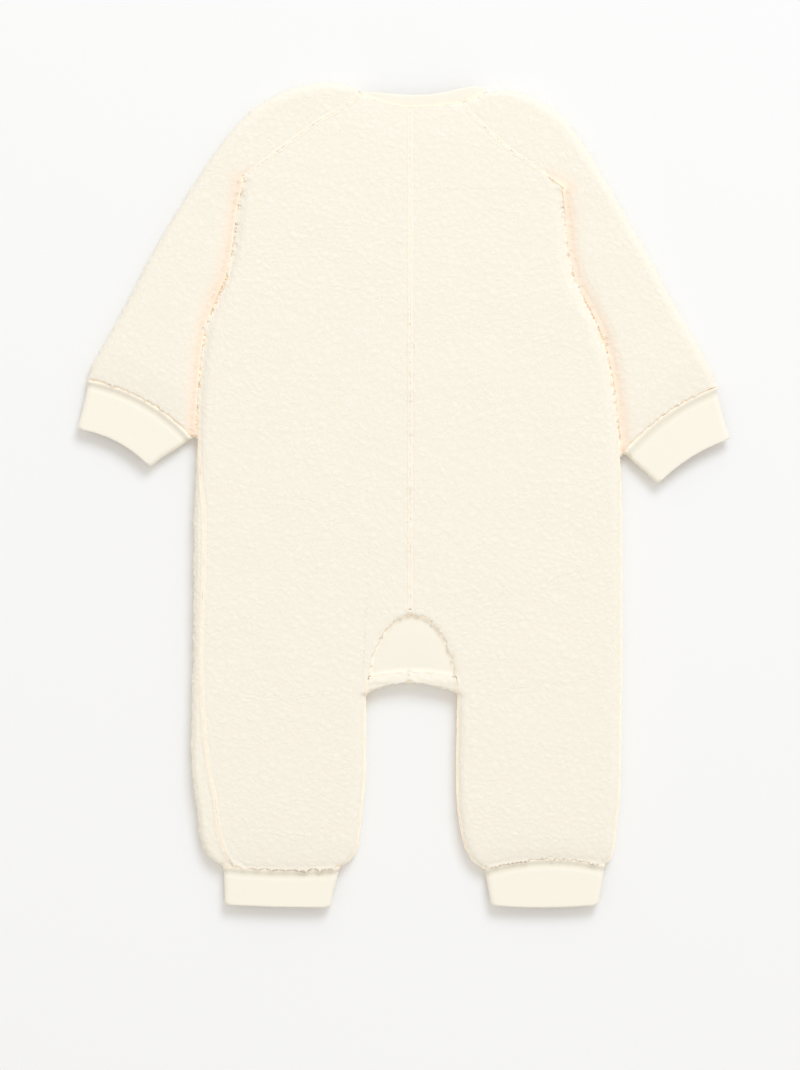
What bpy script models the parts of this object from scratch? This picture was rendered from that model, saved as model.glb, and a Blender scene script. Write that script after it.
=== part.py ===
"""A baby's fleece sleepsuit, laid flat on its front with its back up.

The suit is cut and sewn from long-pile fleece and smooth jersey: two backs that meet at the
centre-back seam and run on down the legs, two fronts under them, two raglan sleeves folded over
the shoulders, an arched gusset at the crotch, a band round the neck, four cuffs, and a press-stud
placket down the front. Each cut piece is one solid.

Units in the tables are millimetres. +Y runs towards the neck, +X to the right of someone who
looks down on the back, +Z up. The floor is z = 0 and the origin is the middle of the outline.
"""

import math
from collections import namedtuple

import bmesh
import bpy
from mathutils import Vector

MM = 0.001

# ---- driving dimensions, millimetres -------------------------------------------------------
CENTRING = Vector((0.1, -1.6, 0.0))     # moves the middle of the finished outline to x = y = 0
GAP = 0.3               # between two pieces that touch or are sewn together
CENTRE = 3.9            # x of the centre-back and centre-front seams
SEAM_DIP = 0.9          # how far a pile edge drops into a seam
SEAM_RUN = 2.8          # width over which it drops
WRAP_LEAST = 0.5        # the front always shows this much beyond the side seam
SLIT = 0.4              # between the two layers of a flattened sleeve
SLEEVE_TUCK = 13.0      # run over which a sleeve's inner side slopes down beside the body
SHORT_ROW = 18.0        # across a row shorter than this the seam's slope narrows
FOLD_RUN = 7.0          # half the garment's thickness: a fold rounds over this width
FOLD_STEPS = (0.0, 1.0, 2.4, 4.6, 8.0)      # places across a fold's top, in from the edge
WALL_TOP = ((0.3, 0.0), (0.1, 0.4), (0.0, 1.2))     # a cut edge rounds: inset, depth below its top
WALL_FOOT = ((0.0, 1.4), (0.3, 0.5), (1.2, 0.0))    # and its foot: inset, height
FOLD_TURNS = 6          # faces round the under layer's half of a fold

GUSSET_APEX = -75.5     # y of the top of the gusset's arch
GUSSET_HEIGHT = 53.0
GUSSET_HALF = 30.0      # half its width at the crotch
GUSSET_MIDDLE = 5.4     # x of its middle
GUSSET_FOOT = -116.5    # y of its lower seam beside the legs
GUSSET_FOOT_RISE = 3.0  # its lower seam is this much higher in the middle
GUSSET_WALL = 2.4
GUSSET_SWELL = 1.2      # how far its middle stands up
GUSSET_DEPTHS = (0.9, 2.2, 5.0, 9.5, 16.0, 24.0, 32.0, 37.0)    # of its cuts, below the apex
GUSSET_ACROSS = 6       # faces across it
CROTCH = -127.9         # y of the crotch edge beside the legs
CROTCH_RISE = 7.5       # the crotch edge is this much higher in the middle
STRIP_ROUND = 2.4       # how far in the crotch edge rounds over
STRIP_START = (         # y, rise in the middle, height: the strip begins at the gusset's foot
    (GUSSET_FOOT, GUSSET_FOOT_RISE, None),
    (GUSSET_FOOT - GAP, GUSSET_FOOT_RISE, 11.4),
    (GUSSET_FOOT - 2.4, 0.8, 12.6),
)
STRIP_END = (           # share of the way from the centre to the leg, height of the strip
    (0.0, 12.4), (0.3, 12.2), (0.55, 12.0), (0.75, 11.6), (0.9, 10.8), (0.96, 7.0),
)

JERSEY = 2.2            # doubled jersey: cuffs and neckband
BACK_BAND_Z = 9.0       # middle of the neckband where it lies on top
FRONT_BAND_Z = 3.2      # and where it lies underneath
BAND_DEPTH = 8.5        # height of the neckband

PLACKET_HALF = 9.7      # half the width of the front placket
PLACKET_TOP = 230.6
PLACKET_FOOT = -62.0
PLACKET_FLOOR = 1.7     # its underside
PLACKET_THICK = 4.4     # two layers of doubled jersey, one on the other
POPPER_COUNT = 7
POPPER_RADIUS = 5.0
POPPER_HEIGHT = 1.0
POPPER_TOP = 221.0
POPPER_PITCH = 45.0

# ---- the outline, one row for each place along it ------------------------------------------
Seam = namedtuple("Seam", "x y mid_y height")           # raglan seam point, row's y at centre back
Edge = namedtuple("Edge", "y x height wrap")            # side edge of body and leg
Inner = namedtuple("Inner", "y x")                      # inner edge of a leg
Hem = namedtuple("Hem", "x y inner_x inner_y height bow")
Arm = namedtuple("Arm", "x y inner_x inner_y height bow")
Cuff = namedtuple("Cuff", "x y inner_x inner_y low high bow")
Band = namedtuple("Band", "x y rim_x rim_y z lean")

RAGLAN = {
    -1: [
        Seam(-28.6, 261.6, 252.6, 11.6),
        Seam(-38.4, 253.8, 244.0, 12.2),
        Seam(-57.2, 242.8, 232.0, 12.8),
        Seam(-80.0, 226.0, 217.5, 13.2),
        Seam(-93.0, 216.0, 209.5, 13.4),
        Seam(-104.7, 206.4, 202.6, 13.5),
    ],
    1: [
        Seam(38.6, 256.0, 252.6, 11.6),
        Seam(41.6, 250.4, 244.0, 12.2),
        Seam(53.4, 238.6, 232.0, 12.8),
        Seam(70.8, 223.6, 217.5, 13.2),
        Seam(87.4, 212.2, 208.5, 13.4),
        Seam(103.4, 200.4, 200.2, 13.5),
    ],
}
NECKLINE_SAG = {-1: -1.3, 1: -0.4}      # how far each back's neckline hangs below its chord
FRONT_NECK_DROP = 21.0  # the front neckline lies this much below the back one
FRONT_NECK_SAG = -6.5

SIDE = {
    -1: [
        Edge(206.0, -104.8, 13.5, 0.5),
        Edge(187.0, -107.6, 13.7, 0.5),
        Edge(166.0, -110.0, 13.8, 0.5),
        Edge(150.0, -112.0, 13.9, 0.5),
        Edge(134.0, -117.4, 14.0, 0.5),
        Edge(117.0, -126.6, 14.0, 0.5),
        Edge(102.0, -129.6, 14.0, 0.5),
        Edge(76.0, -132.6, 14.0, 0.5),
        Edge(45.0, -133.8, 14.0, 0.5),
        Edge(20.0, -134.6, 14.0, 1.0),
        Edge(4.0, -136.6, 14.0, 6.0),
        Edge(-25.0, -137.0, 14.0, 7.4),
        Edge(-65.0, -137.0, 14.0, 6.0),
        Edge(-105.0, -137.4, 14.0, 5.2),
        Edge(-132.0, -138.0, 14.0, 6.6),
        Edge(-160.0, -138.6, 13.8, 9.4),
        Edge(-184.0, -138.4, 13.6, 12.6),
        Edge(-200.0, -135.2, 13.4, 13.0),
        Edge(-214.0, -133.6, 13.0, 12.6),
        Edge(-223.0, -132.4, 12.6, 13.4),
    ],
    1: [
        Edge(200.0, 103.5, 13.5, 0.5),
        Edge(183.0, 103.6, 13.7, 0.5),
        Edge(160.0, 105.6, 13.8, 0.5),
        Edge(146.0, 108.0, 13.9, 0.5),
        Edge(134.0, 112.2, 14.0, 0.5),
        Edge(121.0, 120.6, 14.0, 0.5),
        Edge(102.0, 129.2, 14.0, 0.5),
        Edge(76.0, 135.0, 14.0, 0.5),
        Edge(50.0, 138.4, 14.0, 0.5),
        Edge(25.0, 140.8, 14.0, 0.5),
        Edge(5.0, 141.6, 14.0, 0.5),
        Edge(-40.0, 141.8, 14.0, 0.5),
        Edge(-110.0, 141.8, 14.0, 0.5),
        Edge(-160.0, 141.0, 13.8, 0.5),
        Edge(-195.0, 140.6, 13.6, 0.5),
        Edge(-209.0, 138.6, 13.2, 0.5),
        Edge(-223.0, 137.4, 12.6, 0.5),
    ],
}
LEG = {
    -1: [Inner(-128.0, -24.7), Inner(-185.0, -24.8), Inner(-200.0, -26.8), Inner(-223.0, -29.3)],
    1: [Inner(-128.0, 34.6), Inner(-190.0, 33.5), Inner(-209.0, 35.2), Inner(-223.0, 38.0)],
}
HEMS = {
    -1: [
        Hem(-130.0, -229.0, -30.5, -229.0, 12.0, -0.8),
        Hem(-127.4, -233.6, -32.4, -233.0, 11.4, -1.4),
        Hem(-123.6, -236.6, -35.4, -236.6, 10.8, -1.9),
        Hem(-118.6, -238.6, -39.4, -239.2, 9.8, -2.2),
    ],
    1: [
        Hem(136.6, -229.0, 40.6, -230.0, 12.0, 1.5),
        Hem(135.6, -233.0, 43.4, -235.0, 11.4, 3.2),
        Hem(133.8, -236.2, 47.0, -238.6, 10.8, 4.6),
        Hem(131.0, -238.4, 51.4, -240.8, 9.8, 5.6),
    ],
}
BODY_STATIONS = (181.0, 161.0, 142.0, 127.0, 112.0, 92.0, 66.0, 38.0, 14.0, -12.0, -42.0, -62.6,
                 -66.0, -75.0)
ARCH_DEPTHS = (0.4, 1.6, 4.5, 9.5, 17.0, 27.5, 40.0)
LEG_STATIONS = (-134.0, -158.0, -180.0, -198.0, -212.0, -222.0)

SLEEVE = {
    -1: [
        Arm(-206.0, 77.4, -137.4, 39.2, 10.4, 6.5),
        Arm(-202.6, 86.4, -135.8, 48.0, 11.4, 5.0),
        Arm(-196.6, 97.4, -134.4, 60.0, 12.2, 3.0),
        Arm(-188.0, 112.4, -133.6, 78.0, 12.4, 0.0),
        Arm(-177.4, 131.6, -130.6, 103.0, 12.4, 0.0),
        Arm(-167.0, 152.4, -124.6, 123.6, 12.4, 0.0),
        Arm(-156.0, 172.4, -115.6, 143.6, 12.4, 0.0),
        Arm(-144.4, 191.4, -111.0, 164.0, 12.4, 0.0),
        Arm(-132.6, 209.6, -108.4, 188.0, 12.8, 0.0),
        Arm(-122.4, 225.6, -105.4, 207.4, 13.2, 0.0),
        Arm(-110.6, 240.2, -93.2, 216.2, 13.4, 0.0),
        Arm(-98.2, 252.4, -80.2, 226.2, 13.2, 0.0),
        Arm(-84.0, 261.4, -68.4, 234.9, 13.0, 0.0),
        Arm(-69.0, 267.0, -57.4, 243.0, 12.8, 0.0),
        Arm(-54.4, 269.6, -44.8, 250.1, 12.4, 0.0),
        Arm(-42.0, 269.6, -35.6, 256.2, 12.0, 0.0),
        Arm(-31.8, 267.0, -29.0, 261.5, 11.4, 0.0),
    ],
    1: [
        Arm(203.8, 72.6, 142.0, 29.4, 10.4, 5.0),
        Arm(201.0, 81.6, 140.4, 38.6, 11.4, 4.0),
        Arm(196.0, 90.6, 139.2, 51.0, 12.2, 2.5),
        Arm(186.4, 107.4, 136.6, 72.6, 12.4, 0.0),
        Arm(175.2, 126.8, 130.8, 101.0, 12.4, 0.0),
        Arm(165.8, 144.6, 120.4, 123.4, 12.4, 0.0),
        Arm(156.8, 160.8, 111.6, 138.0, 12.4, 0.0),
        Arm(147.6, 177.6, 106.6, 159.6, 12.4, 0.0),
        Arm(138.0, 195.2, 104.4, 181.0, 12.8, 0.0),
        Arm(127.6, 212.6, 104.2, 201.2, 13.2, 0.0),
        Arm(117.8, 228.8, 87.6, 212.5, 13.4, 0.0),
        Arm(107.0, 244.2, 71.2, 224.0, 13.2, 0.0),
        Arm(96.4, 253.2, 62.0, 231.6, 13.0, 0.0),
        Arm(86.6, 259.6, 53.8, 239.0, 12.8, 0.0),
        Arm(73.6, 264.2, 46.4, 246.0, 12.4, 0.0),
        Arm(64.4, 265.2, 41.9, 250.9, 12.0, 0.0),
        Arm(56.6, 263.4, 39.2, 256.3, 11.4, 0.0),
    ],
}
UNDERARM_ROW = 9        # the sleeve rows before this one are a closed tube

WRISTS = {
    -1: [
        Cuff(-205.8, 76.2, -138.4, 38.4, 2.2, 8.6, 6.5),
        Cuff(-206.4, 69.0, -145.2, 33.4, 2.6, 8.8, 6.2),
        Cuff(-209.4, 56.0, -157.6, 25.6, 3.4, 9.4, 5.4),
        Cuff(-212.6, 44.6, -165.0, 19.6, 4.2, 10.0, 4.6),
    ],
    1: [
        Cuff(203.6, 71.4, 143.2, 28.8, 2.2, 8.6, 5.0),
        Cuff(204.4, 64.6, 147.6, 24.6, 2.6, 8.8, 4.8),
        Cuff(208.0, 50.6, 156.6, 16.6, 3.4, 9.4, 4.2),
        Cuff(212.4, 38.2, 165.0, 8.6, 4.2, 10.0, 3.4),
    ],
}
ANKLES = {
    -1: [
        Cuff(-117.6, -239.2, -41.6, -239.8, 2.2, 8.6, -2.2),
        Cuff(-117.2, -245.0, -43.0, -245.8, 2.6, 8.8, -2.2),
        Cuff(-116.8, -255.0, -45.8, -256.0, 3.4, 9.4, -1.6),
        Cuff(-116.6, -264.6, -47.6, -266.4, 4.2, 10.0, -0.6),
    ],
    1: [
        Cuff(130.4, -239.0, 52.6, -241.2, 2.2, 8.6, 5.6),
        Cuff(129.8, -245.6, 53.4, -247.2, 2.6, 8.8, 4.8),
        Cuff(128.2, -255.4, 55.0, -256.4, 3.4, 9.4, 1.6),
        Cuff(126.4, -264.8, 56.8, -265.2, 4.2, 10.0, -1.6),
    ],
}
BACK_BAND = [
    Band(-27.0, 261.8, -27.8, 263.8, 6.2, -90.0),
    Band(-24.6, 260.4, -24.9, 263.6, 8.2, -40.0),
    Band(-16.9, 257.5, -16.9, 263.2, BACK_BAND_Z, 0.0),
    Band(-5.9, 254.6, -5.9, 262.1, BACK_BAND_Z, 0.0),
    Band(5.2, 253.3, 5.2, 261.6, BACK_BAND_Z, 0.0),
    Band(16.9, 254.0, 16.9, 261.9, BACK_BAND_Z, 0.0),
    Band(28.0, 255.4, 29.2, 263.8, BACK_BAND_Z, 0.0),
    Band(38.9, 257.3, 39.6, 266.6, BACK_BAND_Z, 0.0),
    Band(46.6, 260.3, 47.2, 267.3, 8.4, 30.0),
    Band(52.6, 263.0, 52.2, 266.6, 6.2, 90.0),
]
FRONT_BAND_SEAM = [(45.6, 259.9), (39.0, 256.4), (33.6, 246.5), (22.5, 236.0), (4.4, 232.0),
                   (-13.4, 236.0), (-22.8, 246.0), (-25.8, 256.5)]


# ---- plain geometry ------------------------------------------------------------------------
def along(rows, y, column):
    """Read a column of an outline table at y, straight between its rows."""
    for above, below in zip(rows, rows[1:]):
        if y >= below.y:
            share = min(max((above.y - y) / (above.y - below.y), 0.0), 1.0)
            return getattr(above, column) * (1.0 - share) + getattr(below, column) * share
    return getattr(rows[-1], column)


def arch_half(depth):
    """Half the width of the gusset's arch, this far below its apex: half an ellipse."""
    share = min(max(depth / GUSSET_HEIGHT, 0.0), 1.0)
    return GUSSET_HALF * math.sqrt(1.0 - (1.0 - share) ** 2)


def fold_rise(distance, run):
    """Share of the full height at this distance in from a folded edge, as a quarter ellipse."""
    share = min(max(distance / run, 0.0), 1.0)
    return math.sqrt(1.0 - (1.0 - share) ** 2)


class Row:
    """A cut across a piece in plan, from its outer end to its inner end, with a bowed middle."""

    def __init__(self, outer, inner, height, side, bow=0.0, rise_from=None, rise=0.0):
        self.outer = Vector(outer)
        self.inner = Vector(inner)
        self.height = height
        self.middle = height / 2.0
        self.length = (self.inner - self.outer).length
        direction = (self.inner - self.outer) / self.length
        self.bow = Vector((-direction.y, direction.x)) * (-side * bow)
        self.rise_from = rise_from
        self.rise = rise

    def at(self, distance, z):
        share = distance / self.length
        plan = self.outer.lerp(self.inner, share) + self.bow * (4.0 * share * (1.0 - share))
        if self.rise_from is not None and distance > self.rise_from:
            left = (self.length - distance) / (self.length - self.rise_from)
            plan.y += self.rise * (1.0 - left * left)
        return (plan.x, plan.y, z)


def upper_edge(row, fold, wrap, run=None):
    """Height of a top layer from its own edge inwards, as (distance, z) pairs."""
    if not fold:
        scale = min(row.length / SHORT_ROW, 1.0)
        pairs = []
        for step in (GAP / 2, 1.0, SEAM_RUN, 2.0 * SEAM_RUN):
            rest = 1.0 - min(step / SEAM_RUN, 1.0)
            pairs.append((max(step * scale, GAP / 2), row.height - SEAM_DIP * rest * rest))
        return [(GAP / 2, pairs[0][1] - SEAM_DIP)] + pairs
    run = run or row.middle
    start = wrap + GAP
    dip = SEAM_DIP * min(wrap / SEAM_RUN, 1.0)
    pairs = []
    for step in FOLD_STEPS:
        share = max(1.0 - step / SEAM_RUN, 0.0)
        distance = start + step * run / FOLD_RUN
        rise = row.middle * fold_rise(distance, run) - dip * share * share
        pairs.append((distance, row.middle + rise))
    return pairs


def lower_edge(row, fold, wrap=0.0):
    """The under layer's edge from its upper end round to the floor, as (distance, z) pairs."""
    if not fold:
        end = GAP / 2
        top = row.middle - GAP / 2
        pairs = [(end + inset, top - depth) for inset, depth in WALL_TOP]
        pairs.append((end, top * 0.6))
        return pairs + [(end + inset, height) for inset, height in WALL_FOOT]
    radius = row.middle
    begin = math.acos(max(1.0 - wrap / radius, 0.0))
    crown = row.middle + radius * math.sin(begin) - SEAM_DIP * min(wrap / SEAM_RUN, 1.0)
    pairs = [(wrap, crown)]
    for turn in range(1, FOLD_TURNS + 1):
        angle = begin + (-math.pi / 2 - begin) * turn / FOLD_TURNS
        pairs.append((radius * (1.0 - math.cos(angle)), row.middle + radius * math.sin(angle)))
    return pairs


def placed(point):
    """A table's point in metres, in the centred frame."""
    return (Vector(point) + CENTRING) * MM


def spread(start, end, count):
    """Inner points of a run, evenly spaced, without its two ends."""
    return [start + (end - start) * (index + 1) / (count + 1) for index in range(count)]


# ---- building meshes -----------------------------------------------------------------------
def add_object(name, mesh_source, material, collection):
    mesh = bpy.data.meshes.new(name)
    bmesh.ops.recalc_face_normals(mesh_source, faces=mesh_source.faces[:])
    mesh_source.to_mesh(mesh)
    mesh_source.free()
    mesh.materials.append(material)
    mesh.shade_smooth()
    mesh.set_sharp_from_angle(angle=math.radians(40.0))
    made = bpy.data.objects.new(name, mesh)
    collection.objects.link(made)
    return made


def loft(rings, corner):
    """A closed body through rings of two chains each: out along the first, back by the second.

    The first and the last corner vertices of the first chain are those of its two edges.
    """
    body = bmesh.new()
    levels = []
    for first, second in rings:
        levels.append([body.verts.new(placed(point)) for point in first + second])
    split = len(rings[0][0])
    count = len(levels[0])
    for lower, upper in zip(levels, levels[1:]):
        for index in range(count):
            following = (index + 1) % count
            body.faces.new((lower[index], lower[following], upper[following], upper[index]))
    for level in (levels[0], levels[-1]):
        close_end(body, level[:split], level[split:][::-1], corner)
    return body


def close_end(body, first, second, corner):
    """Fill an end with triangles: a fan round each edge, and between them short diagonals."""
    place, other = 0, 0
    last = len(first) - corner
    while place < len(first) - 1 or other < len(second) - 1:
        step = reach(first, place + 1, second[other])
        other_step = reach(second, other + 1, first[place])
        at_edge = place < corner - 1 or other == len(second) - 1
        if at_edge or (place < last and step <= other_step):
            body.faces.new((first[place], first[place + 1], second[other]))
            place += 1
        else:
            body.faces.new((first[place], second[other + 1], second[other]))
            other += 1


def reach(chain, place, vertex):
    """How far a chain's vertex lies from another one, and endless past the chain's end."""
    if place >= len(chain):
        return math.inf
    return (chain[place].co - vertex.co).length


def tube_wall(rings_out, rings_in):
    """A tube wall between outer and inner rings, open at both ends."""
    body = bmesh.new()
    skins = []
    for rings in (rings_out, rings_in):
        skins.append([[body.verts.new(placed(point)) for point in ring] for ring in rings])
    count = len(rings_out[0])
    for skin in skins:
        for lower, upper in zip(skin, skin[1:]):
            for index in range(count):
                following = (index + 1) % count
                body.faces.new((lower[index], lower[following], upper[following], upper[index]))
    for end in (0, -1):
        outer, inner = skins[0][end], skins[1][end]
        for index in range(count):
            following = (index + 1) % count
            body.faces.new((outer[index], outer[following], inner[following], inner[index]))
    return body


def closed_band(sections):
    """A ring that runs through its sections and back to the first."""
    body = bmesh.new()
    levels = [[body.verts.new(placed(point)) for point in section] for section in sections]
    count = len(levels[0])
    for place, level in enumerate(levels):
        ahead = levels[(place + 1) % len(levels)]
        for index in range(count):
            following = (index + 1) % count
            body.faces.new((level[index], level[following], ahead[following], ahead[index]))
    return body


# ---- the back ------------------------------------------------------------------------------
def back_ring(row, outer_fold, wrap, inner_fold):
    outer = upper_edge(row, outer_fold, wrap)
    inner = [(row.length - distance, z) for distance, z in upper_edge(row, inner_fold, WRAP_LEAST)]
    inner.reverse()
    floor = row.middle + GAP / 2
    over = [row.at(distance, z) for distance, z in outer]
    for distance in spread(outer[-1][0], inner[0][0], 5):
        over.append(row.at(distance, row.height))
    over += [row.at(distance, z) for distance, z in inner]
    stops = [inner[-1][0]] + spread(inner[-1][0], outer[0][0], 6) + [outer[0][0]]
    return over, [row.at(distance, floor) for distance in stops]


def build_back(side):
    rings = []
    for index, seam in enumerate(RAGLAN[side]):
        bow = NECKLINE_SAG[side] * (1.0 - index / (len(RAGLAN[side]) - 1))
        row = Row((seam.x, seam.y), (CENTRE, seam.mid_y), seam.height, side, bow)
        rings.append(back_ring(row, False, 0.0, False))
    edges = SIDE[side]

    def body_ring(y, inner_x, inner_fold=False, slope=0.0):
        outer = (along(edges, y, "x"), y)
        row = Row(outer, (inner_x, y - slope), along(edges, y, "height"), side)
        return back_ring(row, True, along(edges, y, "wrap"), inner_fold)

    armpit = RAGLAN[side][-1]
    rings.append(body_ring(edges[0].y, CENTRE, False, armpit.y - armpit.mid_y))
    for y in BODY_STATIONS:
        rings.append(body_ring(y, CENTRE))
    for depth in ARCH_DEPTHS:
        rings.append(body_ring(GUSSET_APEX - depth, GUSSET_MIDDLE + side * arch_half(depth)))
    crotch_x = GUSSET_MIDDLE + side * arch_half(GUSSET_HEIGHT - 0.6)
    rings.append(body_ring(CROTCH + 0.1, crotch_x))
    rings.append(body_ring(CROTCH, LEG[side][0].x, True))
    for y in LEG_STATIONS:
        rings.append(body_ring(y, along(LEG[side], y, "x"), True))
    for hem in HEMS[side]:
        row = Row((hem.x, hem.y), (hem.inner_x, hem.inner_y), hem.height, side, hem.bow)
        rings.append(back_ring(row, True, edges[-1].wrap, True))
    return loft(rings, 5)


# ---- the front -----------------------------------------------------------------------------
def front_ring(row, outer, inner, shelf=WRAP_LEAST + 1.0, crest=None):
    """Under layer, given its two edges as pairs that run from their upper end to the floor.

    Beside the gusset its inner stretch, as wide as the shelf, stands up to the crest.
    """
    top = row.middle - GAP / 2
    crest = top if crest is None else crest
    inner = [(row.length - distance, z) for distance, z in reversed(inner)]
    corner = inner[-1][0] - 0.1
    foot = min(row.length - shelf, corner - 0.3)
    turn = min(foot, inner[0][0] - 0.2)
    under = [row.at(distance, z) for distance, z in outer]
    stops = spread(outer[-1][0], turn, 4) + [turn] + spread(turn, inner[0][0], 3)
    under += [row.at(distance, 0.0) for distance in stops]
    under += [row.at(distance, z) for distance, z in inner]
    over = [row.at(distance, crest) for distance in [corner] + spread(corner, foot, 3) + [foot]]
    over.append(row.at(foot - 0.2, top))
    last = max(outer[0][0], GAP) + 0.02
    over += [row.at(distance, top) for distance in spread(foot - 1.0, last, 4) + [last]]
    return under, over


def strip_edge(start, crest, width):
    """The crotch edge: the fleece turned over, as a narrow half ellipse of the crest's height."""
    round_over = min(STRIP_ROUND, width / 2.0)
    pairs = []
    for turn in range(FOLD_TURNS + 1):
        angle = math.pi / 2 - math.pi * turn / FOLD_TURNS
        depth = round_over * (1.0 - math.cos(angle))
        pairs.append((start + depth, crest / 2.0 * (1.0 + math.sin(angle))))
    return pairs


def front_centre(side, y):
    """x of the front's inner end: beside the placket, and below it at the centre-front seam."""
    if y < PLACKET_FOOT - 1.0:
        return CENTRE
    return CENTRE + side * (PLACKET_HALF + GAP / 2)


def build_front(side):
    raglan = RAGLAN[side]
    edges = SIDE[side]
    armpit = raglan[-1]
    centre = front_centre(side, PLACKET_TOP)
    neck_y = raglan[0].mid_y - FRONT_NECK_DROP
    rings = []
    for index, seam in enumerate(raglan):
        share = index / (len(raglan) - 1)
        mid_y = neck_y * (1.0 - share) + armpit.mid_y * share
        row = Row((seam.x, seam.y - 1.2 * (1.0 - share)), (centre, mid_y), seam.height, side,
                  FRONT_NECK_SAG * (1.0 - share) ** 2)
        rings.append(front_ring(row, lower_edge(row, False), lower_edge(row, False)))

    def across(y, inner_x, slope=0.0, rise=0.0, rise_over=0.0):
        outer = Vector((along(edges, y, "x"), y))
        rise_from = abs(inner_x - outer.x) - rise_over
        height = along(edges, y, "height")
        return Row(outer, (inner_x, y - slope), height, side, 0.0, rise_from, rise)

    def side_edge(row):
        return lower_edge(row, True, along(edges, row.outer.y, "wrap"))

    slope = armpit.y - armpit.mid_y
    row = across(edges[0].y - GAP, centre, slope)
    rings.append(front_ring(row, lower_edge(row, False), lower_edge(row, False)))
    row = across(edges[0].y - 4.0 * GAP, centre, slope)
    rings.append(front_ring(row, side_edge(row), lower_edge(row, False)))
    for y in BODY_STATIONS + tuple(GUSSET_APEX - depth for depth in ARCH_DEPTHS[2:-1]):
        row = across(y, front_centre(side, y))
        rings.append(front_ring(row, side_edge(row), lower_edge(row, False)))

    # Over the crotch the front turns up: a strip of pile as high as the back beside it.
    for y, rise, crest in STRIP_START:
        shelf = abs(GUSSET_MIDDLE + side * arch_half(GUSSET_APEX - y) - CENTRE) - GAP
        row = across(y, CENTRE, 0.0, rise, shelf)
        inner = lower_edge(row, False)
        if crest:
            inner = [(distance, z * crest / inner[0][1]) for distance, z in inner]
        rings.append(front_ring(row, side_edge(row), inner, shelf, crest))
    for share, crest in STRIP_END:
        y = CROTCH + CROTCH_RISE * (1.0 - share * share)
        arch_x = GUSSET_MIDDLE + side * arch_half(GUSSET_APEX - y)
        end_x = CENTRE + (arch_x - side * GAP - CENTRE) * share
        row = across(y, end_x)
        shelf = abs(arch_x - end_x) - GAP
        inner = strip_edge(GAP / 2 if share == 0.0 else 0.0, crest, shelf)
        rings.append(front_ring(row, side_edge(row), inner, shelf, crest))

    for y in (CROTCH - GAP,) + LEG_STATIONS:
        row = across(y, along(LEG[side], y, "x"))
        rings.append(front_ring(row, side_edge(row), lower_edge(row, True, WRAP_LEAST)))
    for hem in HEMS[side]:
        row = Row((hem.x, hem.y), (hem.inner_x, hem.inner_y), hem.height, side, hem.bow)
        outer = lower_edge(row, True, edges[-1].wrap)
        rings.append(front_ring(row, outer, lower_edge(row, True, WRAP_LEAST)))
    return loft(rings, 7)


# ---- gusset --------------------------------------------------------------------------------
def build_gusset():
    """The jersey arch: a thin wall that rests on the fronts and swells a little in the middle."""
    seat = along(SIDE[-1], GUSSET_FOOT, "height") / 2.0 + GAP
    foot = GUSSET_APEX - GUSSET_FOOT - GAP
    rings = []
    for depth in GUSSET_DEPTHS + (foot,):
        half = arch_half(depth) - GAP
        share = depth / foot
        rise = GUSSET_FOOT_RISE * share ** 3
        swell = GUSSET_SWELL * math.sin(math.pi * share)
        tops, bottoms = [], []
        for index in range(GUSSET_ACROSS + 1):
            place = -1.0 + 2.0 * index / GUSSET_ACROSS
            round_off = 1.0 - place * place
            x = GUSSET_MIDDLE + half * place
            y = GUSSET_APEX - depth + rise * round_off
            lifted = seat + swell * round_off
            tops.append((x, y, lifted + GUSSET_WALL))
            bottoms.append((x, y, lifted))
        rings.append((tops, bottoms[::-1]))
    return loft(rings, 1)


# ---- sleeves -------------------------------------------------------------------------------
def sleeve_ring(row, tube):
    """A flattened sleeve: one layer folded over the outer edge, its seam along the inner one."""
    inner = upper_edge(row, tube, 0.0 if tube else WRAP_LEAST, SLEEVE_TUCK if tube else None)
    if tube:
        inner = [(0.0, row.middle + GAP)] + inner[1:]
    radius = min(row.middle, row.length * 0.5)
    far = row.length
    outside = list(inner)
    for distance in spread(inner[-1][0], far - radius, 4):
        outside.append((distance, row.height))
    turns = 8
    for turn in range(turns + 1):
        angle = math.pi / 2 - math.pi * turn / turns
        outside.append((far - radius + radius * math.cos(angle),
                        row.middle * (1.0 + math.sin(angle))))
    outside += [(distance, 0.0) for distance in spread(far - radius, inner[-1][0], 4)]
    if tube:
        outside += [(2.6, 0.0), (1.0, 1.2), (0.2, 3.0), (0.0, row.middle - GAP)]
    else:
        outside += [(GAP / 2 + 1.2, 0.0), (GAP / 2, 0.9), (GAP / 2, 3.0),
                    (GAP / 2, row.middle - SLIT / 2)]
    begin = outside[0][0] + 0.4
    stops = [begin] + spread(begin, far - radius * 0.8, 4) + [far - radius * 0.8]
    slit = [(distance, row.middle - SLIT / 2) for distance in stops]
    slit += [(distance, row.middle + SLIT / 2) for distance in reversed(stops)]
    return [row.at(*pair) for pair in outside], [row.at(*pair) for pair in slit]


def build_sleeve(side):
    rings = []
    for index, arm in enumerate(SLEEVE[side]):
        row = Row((arm.inner_x, arm.inner_y), (arm.x, arm.y), arm.height, -side, arm.bow)
        rings.append(sleeve_ring(row, index < UNDERARM_ROW))
    return loft(rings, 4)


# ---- cuffs ---------------------------------------------------------------------------------
def stadium(row, low, high, inset):
    """The outline of a flattened tube between two heights, moved in by inset."""
    radius = (high - low) / 2.0
    small = radius - inset
    points = []
    for centre, start in ((radius, 90.0), (row.length - radius, -90.0)):
        for turn in range(7):
            angle = math.radians(start + 30.0 * turn)
            points.append(row.at(centre + small * math.cos(angle),
                                 low + radius + small * math.sin(angle)))
        if centre == radius:
            stops = spread(radius, row.length - radius, 5)
            points += [row.at(distance, low + inset) for distance in stops]
        else:
            stops = spread(row.length - radius, radius, 5)
            points += [row.at(distance, high - inset) for distance in stops]
    return points


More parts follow.
